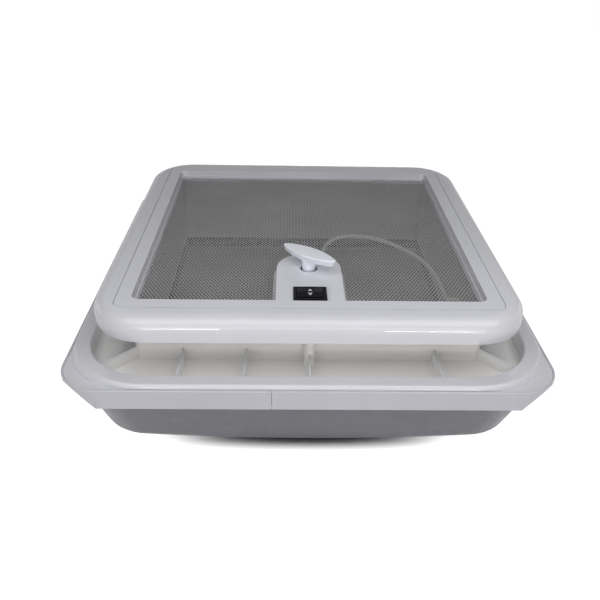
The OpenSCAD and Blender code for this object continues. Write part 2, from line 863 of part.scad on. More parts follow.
module knuckle(x, l, bore) {
    translate([x, 0, hinge_z]) difference() {
        rod_x(knuckle_r, l);
        translate([-over, 0, 0]) rod_x(bore, l + 2 * over);
    }
}

// Leaf plate at height z with a tab to the knuckle that starts at each place in tabs
module leaf(z, tabs, bore) {
    difference() {
        translate([-hinge_w / 2, leaf_start, z]) cube([hinge_w, leaf_l, leaf_t]);
        for (x = [-leaf_screw_x, leaf_screw_x]) translate([x, leaf_screw_y, z - over])
            cylinder(r = leaf_screw_r + 0.4, h = leaf_t + 2 * over);
    }
    for (x = tabs) {
        knuckle(x, knuckle_w, bore);
        translate([x, 0, z]) difference() {
            cube([knuckle_w, leaf_start + over, leaf_t]);
            translate([-over, 0, hinge_z - z]) rod_x(knuckle_r - over, knuckle_w + 2 * over);
        }
    }
}

module base_leaves() color(steel) {
    hinge_places() leaf(z_floor_low - leaf_t, [-hinge_w / 2, hinge_w / 2 - knuckle_w], pin_r + 0.02);
}

module lid_leaves() color(steel) hinge_places() leaf(z_lid, [-knuckle_w / 2], pin_r + 0.07);

module base_leaf_screws() color(steel) {
    leaf_places() translate([0, 0, z_floor_low - leaf_t]) rotate([180, 0, 0])
        screw(leaf_screw_r, leaf_t + wall, leaf_head_r, leaf_head_h);
}

module lid_leaf_screws() color(steel) {
    leaf_places() translate([0, 0, z_lid + leaf_t])
        screw(leaf_screw_r, leaf_t + lid_t, leaf_head_r, leaf_head_h);
}

module hinge_pins() color(steel) {
    hinge_places() translate([-hinge_w / 2 - 0.5, 0, hinge_z]) rod_x(pin_r, hinge_w + 1);
}

// Round tube of n sides swept along a list of points
function unit(v) = v / norm(v);
function heading(p, i) = unit(p[min(i + 1, len(p) - 1)] - p[max(i - 1, 0)]);
function tube_ring(p, i, r, n) =
    let (t = heading(p, i), s = unit(cross(t, [0.1, 0.2, 1])), u = cross(s, t))
    [for (k = [0 : n - 1]) p[i] + r * (cos(360 * k / n) * s + sin(360 * k / n) * u)];

// Points between the route's own points, on a smooth curve through them
function spline(a, b, c, d, t) =
    0.5 * (2 * b + (c - a) * t + (2 * a - 5 * b + 4 * c - d) * t * t + (3 * b - a - 3 * c + d) * t * t * t);
function smooth_route(p, steps) = [
    for (i = [0 : len(p) - 2], k = [0 : steps - 1])
        spline(p[max(i - 1, 0)], p[i], p[i + 1], p[min(i + 2, len(p) - 1)], k / steps),
    p[len(p) - 1]
];

module tube(p, r, n) {
    rings = len(p);
    polyhedron(
        [for (i = [0 : rings - 1], v = tube_ring(p, i, r, n)) v],
        concat(
            [[for (k = [0 : n - 1]) k]],
            [for (i = [0 : rings - 2], k = [0 : n - 1])
                [i * n + k, (i + 1) * n + k, (i + 1) * n + (k + 1) % n, i * n + (k + 1) % n]],
            [[for (k = [n - 1 : -1 : 0]) (rings - 1) * n + k]]
        )
    );
}

module supply_lead() color(white) {
    translate([0, 0, deck_z]) tube(smooth_route(lead_route, 3), lead_r, 8);
}

// Saddle clips that hold the lead off the right-hand wall
module lead_clips() color(white) {
    for (y = clip_places) translate([clip_x, y - 3, deck_z - clip_drop]) difference() {
        translate([0, 0, -5]) cube([th_in - clip_x, 6, 10]);
        translate([-over, -over, -lead_r - lead_fit])
            cube([over + lead_r + lead_fit, 6 + 2 * over, 2 * (lead_r + lead_fit)]);
    }
}

module lead_grommet() color(black) {
    translate(lead_exit) difference() {
        union() {
            translate([-wall - 1.5, 0, 0]) rod_x(6, 1.5);
            translate([-wall - 1.5, 0, 0]) rod_x(4.45, wall + 3);
            rod_x(6, 1.5);
        }
        translate([-wall - 3, 0, 0]) rod_x(lead_r + lead_fit, wall + 6);
    }
}

module lead_connector() color(black) {
    translate([-9, rocker_y - 8.5, op_top]) cube([18, 17, connector_h]);
}

// Short wires from the switch's tabs straight down to the connector
module switch_wires() color(white) {
    low = op_top + connector_h;
    for (k = [-1 : 1])
        translate([0, rocker_y + terminal_pitch * k, low]) cylinder(r = 1, h = z_terminal - low);
}

throat();
base();
rim_strip();
throat_edging();
trim_frame();
trim_screws();
screen_frame();
screen_screws();
screen_caps();
fly_screen();
screen_bead();
rocker_body();
rocker_button();
rocker_terminals();
operator_housing();
housing_screws();
motor();
motor_screws();
motor_pinion();
shaft_gear();
worm_shaft();
worm();
shaft_clip();
wing_knob();
lift_arm();
worm_wheel();
arm_pin();
arm_clips();
arm_roller();
roller_pin();
lid_track();
track_screws();
lid_dome();
lid_frame();
lid_seal();
base_leaves();
base_leaf_screws();
lid_leaves();
lid_leaf_screws();
hinge_pins();
supply_lead();
lead_clips();
lead_grommet();
lead_connector();
switch_wires();
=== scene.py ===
import json
import math

import bmesh
import bpy
from mathutils import Matrix, Vector

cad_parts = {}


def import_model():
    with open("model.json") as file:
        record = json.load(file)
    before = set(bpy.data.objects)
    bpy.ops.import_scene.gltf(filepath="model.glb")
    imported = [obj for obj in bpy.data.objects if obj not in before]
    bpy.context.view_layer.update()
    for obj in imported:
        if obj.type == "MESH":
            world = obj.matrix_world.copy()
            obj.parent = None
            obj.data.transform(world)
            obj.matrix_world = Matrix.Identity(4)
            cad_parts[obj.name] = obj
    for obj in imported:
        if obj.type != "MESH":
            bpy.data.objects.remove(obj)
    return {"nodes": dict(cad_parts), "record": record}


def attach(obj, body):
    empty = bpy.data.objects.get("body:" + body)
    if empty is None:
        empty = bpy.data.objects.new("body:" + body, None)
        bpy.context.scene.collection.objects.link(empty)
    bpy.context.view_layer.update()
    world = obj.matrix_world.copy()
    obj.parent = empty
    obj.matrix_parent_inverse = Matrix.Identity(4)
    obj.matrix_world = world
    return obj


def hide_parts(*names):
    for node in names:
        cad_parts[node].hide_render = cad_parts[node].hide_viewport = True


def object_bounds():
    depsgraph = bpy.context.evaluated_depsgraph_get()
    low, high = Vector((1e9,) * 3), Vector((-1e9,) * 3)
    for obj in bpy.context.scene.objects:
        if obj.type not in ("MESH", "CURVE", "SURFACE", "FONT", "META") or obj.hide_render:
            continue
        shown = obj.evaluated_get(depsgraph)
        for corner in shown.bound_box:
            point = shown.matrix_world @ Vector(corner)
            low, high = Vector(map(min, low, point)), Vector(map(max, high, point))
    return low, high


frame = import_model()
cad_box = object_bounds()
nodes = frame["nodes"]

MM = 0.001

# Heights, half widths and radii of the part, in millimetres
DECK = 161.5
BAND = 106.5
APERTURE = 175.0
APERTURE_R = 6.0
POCKET = 222.5
POCKET_R = 64.0
TONGUE = 34.0
ROCKER_Y = -162.0

# Net: height of its ledge, its own height over that, gap to the frame, wires and their lean in degrees
NET_Z = 151.1
NET_RISE = 0.3
NET_GAP = 0.5
NET_PITCH = 3.2
NET_LEAN = 32.0
WIRE = 0.8
WIRE_FLAT = 0.55

# Dome: rim, outline, lean of the side, wall, crown and the rounds between them
LID_LOW = 77.0
LID_C = 169.0
DOME_R = 67.0
DOME_LEAN = 0.4
DOME_WALL = 3.5
CROWN_R = 1640.0
CROWN_FLAT = 1.5
CROWN_ROUND = 1.0
EDGE_ROUND = 5.0

# Rings of the dome's mesh: depths down the side, steps in from its foot, shares of the last ring
SIDE_DEPTHS = (0, 4, 10, 18, 26, 34, 42)
FOOT_STEPS = (1.5, 3, 4.2, 5.4, 6.6, 7.8, 9, 10.2, 11.4, 12.6, 14, 16, 19, 23, 28)
CROWN_SHARES = (0.88, 0.76, 0.64, 0.52, 0.40, 0.28, 0.16, 0.06)

# Blocks under the track's feet: left, right, near and far side
PADS = ((-4.5, 26.5, -62.0, -44.0), (-4.5, 26.5, 37.0, 55.0))
PAD_TOP = 8.0
PAD_CHAMFER = 0.8

# Wing knob: half length, half width and half width of its ends, with its turn in degrees
KNOB_Y = -110.0
KNOB_LONG = 33.0
KNOB_WIDE = 11.0
KNOB_END = 4.5
KNOB_FULL = 0.55
KNOB_TOP = 19.5
KNOB_TURN = -37.0
HUB_R = 7.0

# Knob's levels: height over the deck, share of the wing in the outline, inset, hub radius
KNOB_LEVELS = (
    (-22, 0, 0, HUB_R), (-20, 0, 0, HUB_R), (0, 0, 0, HUB_R), (4, 0, 0, HUB_R), (8, 0, 0, HUB_R + 0.6),
    (10.4, 0.02, 3, HUB_R + 1), (11.2, 0.12, 3.2, HUB_R + 1.4), (11.5, 0.5, 3.6, HUB_R + 1),
    (11.6, 0.85, 3.8, HUB_R), (11.8, 1, 3.4, HUB_R), (12.4, 1, 2.8, HUB_R), (13.6, 1, 2.2, HUB_R),
    (15.6, 1, 1.4, HUB_R), (17.4, 1, 0.7, HUB_R), (18.4, 1, 0.4, HUB_R), (19, 1, 0.7, HUB_R),
    (19.35, 1, 1.3, HUB_R), (19.47, 1, 2.4, HUB_R),
)

# Rocker's face: ridge, fall to each side, and the mark's height over it
RIDGE = DECK + 2.2
RIDGE_FALL = 0.8 / 8.6
MARK_PROUD = 0.08
ARROW_UP = ((-2.0, 2.0), (2.0, 2.0), (0, 5.8))
ARROW_DOWN = ((-2.2, -1.6), (-1.2, -1.6), (0, -4.2), (1.2, -1.6), (2.2, -1.6), (0, -6.2))

# Lead: radius and route, with heights from the deck
LEAD_R = 2.4
LEAD_ROUTE = (
    (9.5, -158, -54), (15, -158, -54), (20, -150, -55), (22, -125, -57), (22, -89, -60),
    (22, -40, -61), (22, 15, -61), (26, 56, -61), (39, 81, -61), (57, 90, -60),
    (74, 91, -60), (92, 86, -60), (112, 74, -60), (131, 53, -60), (149, 25, -60),
    (159, -8, -60), (161.5, -42, -59), (162, -78, -58), (162, -112, -58), (163, -126, -55),
    (166, -136, -51), (172, -140, -49), (182, -140, -49), (190, -140, -49),
)

# Rounding of the moulded pieces' edges: widths in millimetres, and which edges are sharp, in degrees
SOFT_EDGES = {
    "screen_frame": 0.5, "trim_frame": 0.5, "base": 0.6, "rim_strip": 0.4, "lid_frame": 0.6,
    "rocker_body": 0.35, "rocker_button": 0.5, "screen_caps": 0.25, "operator_housing": 0.6,
}
SHARP_ANGLE = 40.0
WELD_REACH = 0.01

# Slots: two colours of the tone, range of the roughness, grain in cycles per metre and its depth
SURFACES = {
    "white_plastic": (((0.70, 0.702, 0.745), (0.725, 0.727, 0.77)), (0.27, 0.32), 700, 0.002),
    # The throat's own warm off-white, raised lighter and warmer as painted bounce light so the pocket's
    # wall shows bright
    "throat_plastic": (((0.90, 0.885, 0.855), (0.93, 0.915, 0.885)), (0.34, 0.42), 700, 0.003),
    "smoked_acrylic": (((0.064, 0.064, 0.083), (0.076, 0.076, 0.098)), (0.30, 0.42), 900, 0.006),
    "white_strip": (((0.56, 0.557, 0.603), (0.59, 0.587, 0.635)), (0.30, 0.40), 500, 0.003),
    "screen_mesh": (((0.63, 0.63, 0.635), (0.72, 0.72, 0.725)), (0.38, 0.5), 1500, 0.02),
    "black_rubber": (((0.012, 0.012, 0.013), (0.022, 0.022, 0.023)), (0.55, 0.75), 900, 0.06),
    "black_plastic": (((0.004, 0.004, 0.006), (0.009, 0.009, 0.012)), (0.34, 0.46), 2600, 0.03),
    "grey_plastic": (((0.26, 0.265, 0.28), (0.31, 0.315, 0.33)), (0.42, 0.55), 1200, 0.03),
    "nylon": (((0.62, 0.61, 0.56), (0.70, 0.69, 0.64)), (0.36, 0.48), 900, 0.02),
    "brass": (((0.60, 0.43, 0.19), (0.68, 0.51, 0.24)), (0.22, 0.36), 1600, 0.02),
    "steel": (((0.50, 0.51, 0.53), (0.60, 0.61, 0.62)), (0.28, 0.42), 1400, 0.02),
    "zinc_screw": (((0.52, 0.52, 0.53), (0.63, 0.63, 0.64)), (0.24, 0.38), 2200, 0.02),
    "lead_sheath": (((0.50, 0.50, 0.49), (0.58, 0.58, 0.57)), (0.40, 0.52), 1100, 0.03),
}
SETTINGS = {
    "white_plastic": dict(Specular_IOR_Level=0.05, Coat_Weight=0.25, Coat_IOR=2.4, Coat_Roughness=0.03),
    "black_plastic": dict(Specular_IOR_Level=0.05),
    "brass": dict(stretch=(1, 1, 6), Metallic=1.0),
    "steel": dict(stretch=(1, 7, 1), Metallic=1.0),
    "zinc_screw": dict(Metallic=1.0),
}
TONE_SCALE = 14
GLOSS_SCALE = TONE_SCALE * 6

# Factors for the colour in some places: painted light in the pocket, on the knob and on the dome's
# inside, painted shade in the throat
POCKET_PAINTED_LIGHT = (1.32, 1.305, 1.21)
KNOB_PAINTED_LIGHT = (1.28, 1.31, 1.34)
THROAT_PAINTED_SHADE = (0.24, 0.24, 0.245)
DOME_INSIDE_PAINTED_LIGHT = (3.0, 3.0, 2.4)

# Floor, in metres: size, gap under the part and reach of the contact shadow
FLOOR_SIZE = 30
FLOOR_GAP = 0.0002
SHADOW_REACH = 0.0195
SHADOW_RANGE = (0.40, 0.80)

# Lamps: name, place and target in metres, width, height and watts
LAMPS = (
    ("front_box", (0.0, -1.0, 0.45), (0, -0.15, 0.12), 1.2, 0.3, 1.5),
    ("main_box", (0.02, -0.39, 0.60), (0, -0.2, 0.15), 1.2, 0.4, 2.7),
    ("left_box", (-0.28, -1.0, 0.235), (-0.1, -0.2, 0.15), 0.18, 0.05, 0.62),
    ("right_box", (0.35, -1.0, 0.16), (0.1, -0.2, 0.15), 0.30, 0.05, 0.95),
    ("back_box", (0.0, 1.5, 0.26), (0, 0.2, 0.10), 1.4, 0.2, 2.0),
    ("left_fill", (-1.5, 0.5, 0.22), (-0.2, 0.1, 0.10), 0.8, 0.2, 1.2),
    ("right_fill", (1.5, 0.5, 0.22), (0.2, 0.1, 0.10), 0.8, 0.2, 1.2),
)
WORLD_LEVEL = 0.03

# Camera fitted to the photograph's straight edges: place in millimetres, turns in degrees
CAM_PLACE = (-23.69, -708.67, DECK + 329.77)
CAM_DOWN = 31.6825
CAM_YAW = -1.4438
CAM_ROLL = 1.2362
CAM_LENS = 38.63
CAM_SENSOR = 36


# Meshes

def mesh_object(name, verts, faces, smooth=True):
    """New object from vertices in millimetres."""
    mesh = bpy.data.meshes.new(name)
    mesh.from_pydata([Vector(v) * MM for v in verts], [], faces)
    mesh.validate()
    if smooth:
        mesh.shade_smooth()
    obj = bpy.data.objects.new(name, mesh)
    bpy.context.scene.collection.objects.link(obj)
    return obj


def tidy_normals(obj):
    """Turns all faces of a closed mesh outwards."""
    bm = bmesh.new()
    bm.from_mesh(obj.data)
    bmesh.ops.recalc_face_normals(bm, faces=bm.faces)
    bm.to_mesh(obj.data)
    bm.free()


def bridge(faces, first, second, count):
    """Quads between two closed rings of the same count, given by their first index."""
    for k in range(count):
        n = (k + 1) % count
        faces.append((first + k, first + n, second + n, second + k))


def round_square(half, radius):
    """Points round a square with round corners, the same number for any size."""
    straight, corner = 20, 14
    flat = half - radius
    points = []
    for side in range(4):
        turn = Matrix.Rotation(side * math.pi / 2, 2)
        for k in range(straight):
            points.append(turn @ Vector((half, -flat + 2 * flat * k / straight)))
        for k in range(corner):
            a = math.pi / 2 * k / corner
            points.append(turn @ Vector((flat + radius * math.cos(a), flat + radius * math.sin(a))))
    return points


def smooth_max(a, b, width):
    """The larger of two heights, with a round of about that width between them."""
    h = max(width - abs(a - b), 0) / width
    return max(a, b) + h * h * width / 4


# Materials

def material(name):
    """New material with its node tree and its shader."""
    mat = bpy.data.materials.new(name)
    mat.use_nodes = True
    tree = mat.node_tree
    return mat, tree, tree.nodes["Principled BSDF"]


def noise(tree, scale, detail, stretch):
    """Noise in the object's own place, with the scale in cycles per metre."""
    place = tree.nodes.new("ShaderNodeTexCoord")
    spread = tree.nodes.new("ShaderNodeMapping")
    spread.inputs["Scale"].default_value = stretch
    texture = tree.nodes.new("ShaderNodeTexNoise")
    texture.inputs["Scale"].default_value = scale
    texture.inputs["Detail"].default_value = detail
    tree.links.new(place.outputs["Object"], spread.inputs["Vector"])
    tree.links.new(spread.outputs["Vector"], texture.inputs["Vector"])
    return texture.outputs["Fac"]


def ramp(tree, value, low, high, start=0.3, end=0.7):
    """Colour ramp between two colours or two grey values."""
    made = tree.nodes.new("ShaderNodeValToRGB")
    as_colour = [c if hasattr(c, "__len__") else (c, c, c) for c in (low, high)]
    for stop, place, colour in zip(made.color_ramp.elements, (start, end), as_colour):
        stop.position = place
        stop.color = (*colour, 1)
    tree.links.new(value, made.inputs["Fac"])
    return made.outputs["Color"]


def bump(tree, shader, height, depth):
    """Raised grain with a depth in millimetres."""
    made = tree.nodes.new("ShaderNodeBump")
    made.inputs["Strength"].default_value = 1
    made.inputs["Distance"].default_value = depth * MM
    tree.links.new(height, made.inputs["Height"])
    tree.links.new(made.outputs["Normal"], shader.inputs["Normal"])


def surface(name, colours, rough, grain, depth, stretch=(1, 1, 1), **values):
    """Material with a soft change of tone, a changing gloss and a fine grain in its surface."""
    mat, tree, shader = material(name)
    tone = noise(tree, TONE_SCALE, 4, stretch)
    tree.links.new(ramp(tree, tone, *colours), shader.inputs["Base Color"])
    gloss = noise(tree, GLOSS_SCALE, 5, stretch)
    tree.links.new(ramp(tree, gloss, *rough), shader.inputs["Roughness"])
    bump(tree, shader, noise(tree, grain, 2, stretch), depth)
    for socket, value in values.items():
        shader.inputs[socket.replace("_", " ")].default_value = value
    return mat


def part_of(tree, kind, axis):
    """One axis of the place or the normal in the object's own frame."""
    coordinates = tree.nodes.new("ShaderNodeTexCoord")
    split = tree.nodes.new("ShaderNodeSeparateXYZ")
    tree.links.new(coordinates.outputs[kind], split.inputs[0])
    return split.outputs[axis]


def looks_up(tree):
    """Mask of the faces that look up in the object's own frame: the dome's inside."""
    return ramp(tree, part_of(tree, "Normal", "Z"), 0, 1, 0.05, 0.2)


def over_deck(tree):
    """Mask of what stands more than 1 to 2 mm over the deck: the knob and the rocker's mark."""
    return ramp(tree, part_of(tree, "Object", "Z"), 0, 1, (DECK + 1) * MM, (DECK + 2) * MM)


def in_square(tree, half, radius):
    """Mask of a square with round corners, seen from above."""
    corner, blur = (half - radius) * MM, 0.5
    steps = (("ABSOLUTE", None), ("SUBTRACT", (corner, corner, 1)), ("MAXIMUM", (0, 0, 0)))
    value = tree.nodes.new("ShaderNodeTexCoord").outputs["Object"]
    for step, limit in steps:
        vector = tree.nodes.new("ShaderNodeVectorMath")
        vector.operation = step
        tree.links.new(value, vector.inputs[0])
        if limit:
            vector.inputs[1].default_value = limit
        value = vector.outputs["Vector"]
    reach = tree.nodes.new("ShaderNodeVectorMath")
    reach.operation = "LENGTH"
    tree.links.new(value, reach.inputs[0])
    return ramp(tree, reach.outputs["Value"], 1, 0, (radius - blur) * MM, (radius + blur) * MM)


def in_throat(tree):
    """Mask of the throat's inside."""
    return in_square(tree, APERTURE + 1, APERTURE_R)


def in_pocket(tree):
    """Mask of the pocket: inside its outline and under the bonding band."""
    low = ramp(tree, part_of(tree, "Object", "Z"), 1, 0, (BAND - 2.6) * MM, (BAND - 2.0) * MM)
    both = tree.nodes.new("ShaderNodeMath")
    both.operation = "MULTIPLY"
    tree.links.new(low, both.inputs[0])
    tree.links.new(in_square(tree, POCKET + 1, POCKET_R + 1), both.inputs[1])
    return both.outputs[0]


def tint(mat, where, factors):
    """Multiplies the colour by three factors where the mask is 1: painted light and painted shade."""
    tree = mat.node_tree
    shader = tree.nodes["Principled BSDF"]
    plain = shader.inputs["Base Color"].links[0].from_socket
    blend = tree.nodes.new("ShaderNodeMixRGB")
    blend.blend_type = "MULTIPLY"
    blend.inputs["Color2"].default_value = (*factors, 1)
    tree.links.new(where(tree), blend.inputs["Fac"])
    tree.links.new(plain, blend.inputs["Color1"])
    tree.links.new(blend.outputs["Color"], shader.inputs["Base Color"])


def make_materials():
    made = {}
    for name, values in SURFACES.items():
        made[name] = surface(name, *values, **SETTINGS.get(name, {}))
    # Painted light: the pocket under the bonding band is made lighter and warmer, as bounce light
    tint(made["white_plastic"], in_pocket, POCKET_PAINTED_LIGHT)
    # Painted light: the knob and the rocker's mark are made lighter and cooler, as if lit more strongly
    tint(made["white_plastic"], over_deck, KNOB_PAINTED_LIGHT)
    # Painted shade: the throat's inside is made much darker, as shade where little light comes through
    # the net
    tint(made["throat_plastic"], in_throat, THROAT_PAINTED_SHADE)
    # Painted light: the dome's inside is made lighter and warmer, as light coming through the acrylic
    tint(made["smoked_acrylic"], looks_up, DOME_INSIDE_PAINTED_LIGHT)
    return made


def dress_nodes(materials):
    """Gives each CAD node the material of its slot in the record."""
    for sub in frame["record"]["subparts"]:
        mesh = nodes[sub["node"]].data
        mesh.materials.clear()
        mesh.materials.append(materials[sub["material_slot"]])


def soften(name, width):
    """Rounds a CAD node's sharp edges by a width in millimetres."""
    obj = nodes[name]
    weld = obj.modifiers.new("weld", "WELD")
    weld.merge_threshold = WELD_REACH * MM
    bevel = obj.modifiers.new("bevel", "BEVEL")
    bevel.width = width * MM
    bevel.segments = 2
    bevel.limit_method = "ANGLE"
    bevel.angle_limit = math.radians(SHARP_ANGLE)
    bevel.harden_normals = True


def add_piece(obj, body, slot, materials, *stands_for):
    """Puts a new piece on a body, in a slot and in the place of CAD nodes."""
    obj.data.materials.append(materials[slot])
    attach(obj, body)
    if stands_for:
        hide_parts(*stands_for)


# Fly screen

def in_net(x, y):
    """Whether a place lies inside the aperture and clear of the tongue."""
    edge = APERTURE - NET_GAP
    if max(abs(x), abs(y)) > edge:
        return False
    reach = TONGUE + NET_GAP
    if y <= KNOB_Y:
        return abs(x) >= reach
    return math.hypot(x, y - KNOB_Y) >= reach


def net_border(inner, outer):
    """Place on the line between a point in the net and one outside where the net ends."""
    halvings = 12
    for _ in range(halvings):
        middle = (inner + outer) / 2
        inner, outer = (middle, outer) if in_net(*middle) else (inner, middle)
    return inner


def add_wire(verts, faces, points, lifts, across):
    """One woven wire through the points, as a flat four-sided rod."""
    half = WIRE / 2
    thick = half * WIRE_FLAT
    base = len(verts)
    for p, lift in zip(points, lifts):
        for side, up in ((0, thick), (half, 0), (0, -thick), (-half, 0)):
            edge = p + side * across
            if not in_net(*edge):
                edge = p
            verts.append((edge.x, edge.y, NET_Z + NET_RISE + lift + up))
    for i in range(len(points) - 1):
        bridge(faces, base + 4 * i, base + 4 * i + 4, 4)
    faces.append(tuple(base + k for k in range(4)))
    faces.append(tuple(base + 4 * (len(points) - 1) + k for k in (3, 2, 1, 0)))


def weave_line(verts, faces, crossings, lifts, across):
    """Wires along one line of the weave, wherever it runs inside the net."""
    run, heights = [], []
    for k, (p, lift) in enumerate(zip(crossings, lifts)):
        if in_net(*p):
            if not run and k:
                run, heights = [net_border(p, crossings[k - 1])], [0]
            run.append(p)
            heights.append(lift)
        elif run:
            run.append(net_border(run[-1], p))
            heights.append(0)
            add_wire(verts, faces, run, heights, across)
            run, heights = [], []


def fly_screen(materials):
    """Gauze of two sets of wires that cross in diamonds, over and under in turn."""
    lean = math.radians(NET_LEAN)
    wide, deep = 2 * math.cos(lean), 2 * math.sin(lean)
    normals = [Vector((math.cos(lean), side * math.sin(lean))) for side in (1, -1)]
    count = int(APERTURE * (math.cos(lean) + math.sin(lean)) / NET_PITCH) + 2
    steps = [(k + 0.5) * NET_PITCH for k in range(-count, count)]
    rise = WIRE / 4
    verts, faces = [], []
    for i, a in enumerate(steps):
        for kind in (0, 1):
            pairs = [(a, b) if kind == 0 else (b, a) for b in steps]
            crossings = [Vector(((u + v) / wide, (u - v) / deep)) for u, v in pairs]
            lifts = [rise if (i + j + kind) % 2 else -rise for j in range(len(steps))]
            weave_line(verts, faces, crossings, lifts, normals[kind])
    net = mesh_object("woven_screen", verts, faces)
    add_piece(net, "vent", "screen_mesh", materials, "fly_screen")


# Dome

def dome_height(x, y, inset, wall):
    """Height of the dome's skin at a place that lies inset from the rim's outline."""
    side = LID_LOW - (inset - wall) / DOME_LEAN
    crown = CROWN_R - CROWN_FLAT - math.sqrt((CROWN_R - wall) ** 2 - x * x - y * y)
    flat = smooth_max(crown, wall, CROWN_ROUND)
    return min(smooth_max(side, flat, EDGE_ROUND), LID_LOW)


def dome_skin(verts, faces, wall):
    """Rings from the rim to the middle of the crown; returns the first ring's index and its count."""
    half = LID_C + DOME_R
    insets = [wall + DOME_LEAN * d for d in SIDE_DEPTHS]
    insets += [wall + DOME_LEAN * SIDE_DEPTHS[-1] + d for d in FOOT_STEPS]
    first = len(verts)
    ring = None
    for inset in insets:
        points = round_square(half - inset, DOME_R - inset)
        start = len(verts)
        verts.extend((p.x, p.y, dome_height(p.x, p.y, inset, wall)) for p in points)
        if ring is not None:
            bridge(faces, ring, start, len(points))
        ring = start
    outline = points
    for share in CROWN_SHARES:
        start = len(verts)
        places = [(p.x * share, p.y * share) for p in outline]
        verts.extend((x, y, dome_height(x, y, half, wall)) for x, y in places)
        bridge(faces, ring, start, len(outline))
        ring = start
    faces.append(tuple(ring + k for k in range(len(outline))))
    return first, len(outline)


def track_pad(verts, faces, x0, x1, y0, y1):
    """Block with a chamfered top inside the dome, under a foot of the track."""
    start = len(verts)
    for z, inset in ((DOME_WALL - 1, 0), (PAD_TOP - PAD_CHAMFER, 0), (PAD_TOP, PAD_CHAMFER)):
        left, right, near, far = x0 + inset, x1 - inset, y0 + inset, y1 - inset
        verts.extend([(left, near, z), (right, near, z), (right, far, z), (left, far, z)])
    for ring in (start, start + 4):
        bridge(faces, ring, ring + 4, 4)
    faces.append(tuple(range(start + 8, start + 12)))
    faces.append(tuple(range(start + 3, start - 1, -1)))


def dome(materials):
    """Smoked dome with its two skins and the pads inside."""
    verts, faces = [], []
    outer, count = dome_skin(verts, faces, 0)
    inner, count = dome_skin(verts, faces, DOME_WALL)
    bridge(faces, outer, inner, count)
    for pad in PADS:
        track_pad(verts, faces, *pad)
    shell = mesh_object("dome_shell", verts, faces)
    tidy_normals(shell)
    add_piece(shell, "lid", "smoked_acrylic", materials, "lid_dome")


# Wing knob

def knob_outline(count):
    """Lens with round ends, as points for equal steps of a turn."""
    side = KNOB_WIDE - KNOB_END
    arc = (KNOB_LONG * KNOB_LONG + side * side) / (2 * side)
    points = []
    for k in range(count):
        a = 2 * math.pi * k / count
        x = KNOB_LONG * math.cos(a)
        half = KNOB_WIDE - arc + math.sqrt(arc * arc - x * x)
        s = math.sin(a)
        points.append(Vector((x, math.copysign(half * abs(s) ** KNOB_FULL, s))))
    return points


def wing_knob(materials):
    """Hub that runs over into the wing, ring by ring."""
    count = 72
    lens = knob_outline(count)
    angles = [2 * math.pi * k / count for k in range(count)]
    round_hub = [Vector((math.cos(a), math.sin(a))) for a in angles]
    verts, faces = [], []
    turn = Matrix.Rotation(math.radians(KNOB_TURN), 2)
    for height, share, inset, radius in KNOB_LEVELS:
        start = len(verts)
        for edge, circle in zip(lens, round_hub):
            shrunk = Vector((edge.x * (1 - inset / KNOB_LONG), edge.y * (1 - inset / KNOB_WIDE)))
            p = turn @ shrunk.lerp(circle * radius, 1 - share)
            verts.append((p.x, p.y + KNOB_Y, DECK + height))
        if start:
            bridge(faces, start - count, start, count)
    verts.append((0, KNOB_Y, DECK + KNOB_TOP))
    last = len(verts) - 1
    faces += [(last - count + k, last - count + (k + 1) % count, last) for k in range(count)]
    faces.append(tuple(range(count - 1, -1, -1)))
    knob = mesh_object("wing_grip", verts, faces)
    tidy_normals(knob)
    add_piece(knob, "drive", "white_plastic", materials, "wing_knob")


# Rocker mark

def rocker_mark(materials):
    """Up and down arrowheads printed on the rocker's face."""
    verts, faces = [], []
    for outline in (ARROW_UP, ARROW_DOWN):
        start, count = len(verts), len(outline)
        for level in (-MARK_PROUD, MARK_PROUD):
            verts.extend((x, ROCKER_Y + y, RIDGE - abs(y) * RIDGE_FALL + level) for x, y in outline)
        bridge(faces, start, start + count, count)
        faces.append(tuple(start + count + k for k in range(count)))
        faces.append(tuple(start + k for k in range(count - 1, -1, -1)))
    mark = mesh_object("rocker_mark", verts, faces, smooth=False)
    tidy_normals(mark)
    add_piece(mark, "rocker", "white_plastic", materials)


# Supply lead

def spline(a, b, c, d, t):
    """Place at a share t of the way from b to c, on a smooth curve through four points."""
    square = (2 * a - 5 * b + 4 * c - d) * t * t
    cube = (3 * b - a - 3 * c + d) * t ** 3
    return 0.5 * (2 * b + (c - a) * t + square + cube)


def supply_lead(materials):
    """Round lead swept along its route."""
    route = [Vector((x, y, DECK + z)) for x, y, z in LEAD_ROUTE]
    steps, sides = 8, 14
    path = []
    for i in range(len(route) - 1):
        four = [route[max(i - 1, 0)], route[i], route[i + 1], route[min(i + 2, len(route) - 1)]]
        path += [spline(*four, k / steps) for k in range(steps)]
    path.append(route[-1])
    verts, faces = [], []
    for i, p in enumerate(path):
        ahead = (path[min(i + 1, len(path) - 1)] - path[max(i - 1, 0)]).normalized()
        across = ahead.cross(Vector((0.1, 0.2, 1))).normalized()
        over = across.cross(ahead)
        start = len(verts)
        for k in range(sides):
            a = 2 * math.pi * k / sides
            verts.append(p + LEAD_R * (math.cos(a) * across + math.sin(a) * over))
        if i:
            bridge(faces, start - sides, start, sides)
    faces.append(tuple(range(sides)))
    faces.append(tuple(len(verts) - 1 - k for k in range(sides)))
    lead = mesh_object("sheathed_lead", verts, faces)
    tidy_normals(lead)
    add_piece(lead, "vent", "lead_sheath", materials, "supply_lead")


# Stage

def background_ray(tree):
    """Factor of 1 for the rays that show the background: camera, glossy and transmission."""
    seen = tree.nodes.new("ShaderNodeLightPath")
    most = seen.outputs["Is Camera Ray"]
    for ray in ("Is Glossy Ray", "Is Transmission Ray"):
        larger = tree.nodes.new("ShaderNodeMath")
        larger.operation = "MAXIMUM"
        tree.links.new(most, larger.inputs[0])
        tree.links.new(seen.outputs[ray], larger.inputs[1])
        most = larger.outputs[0]
    return most


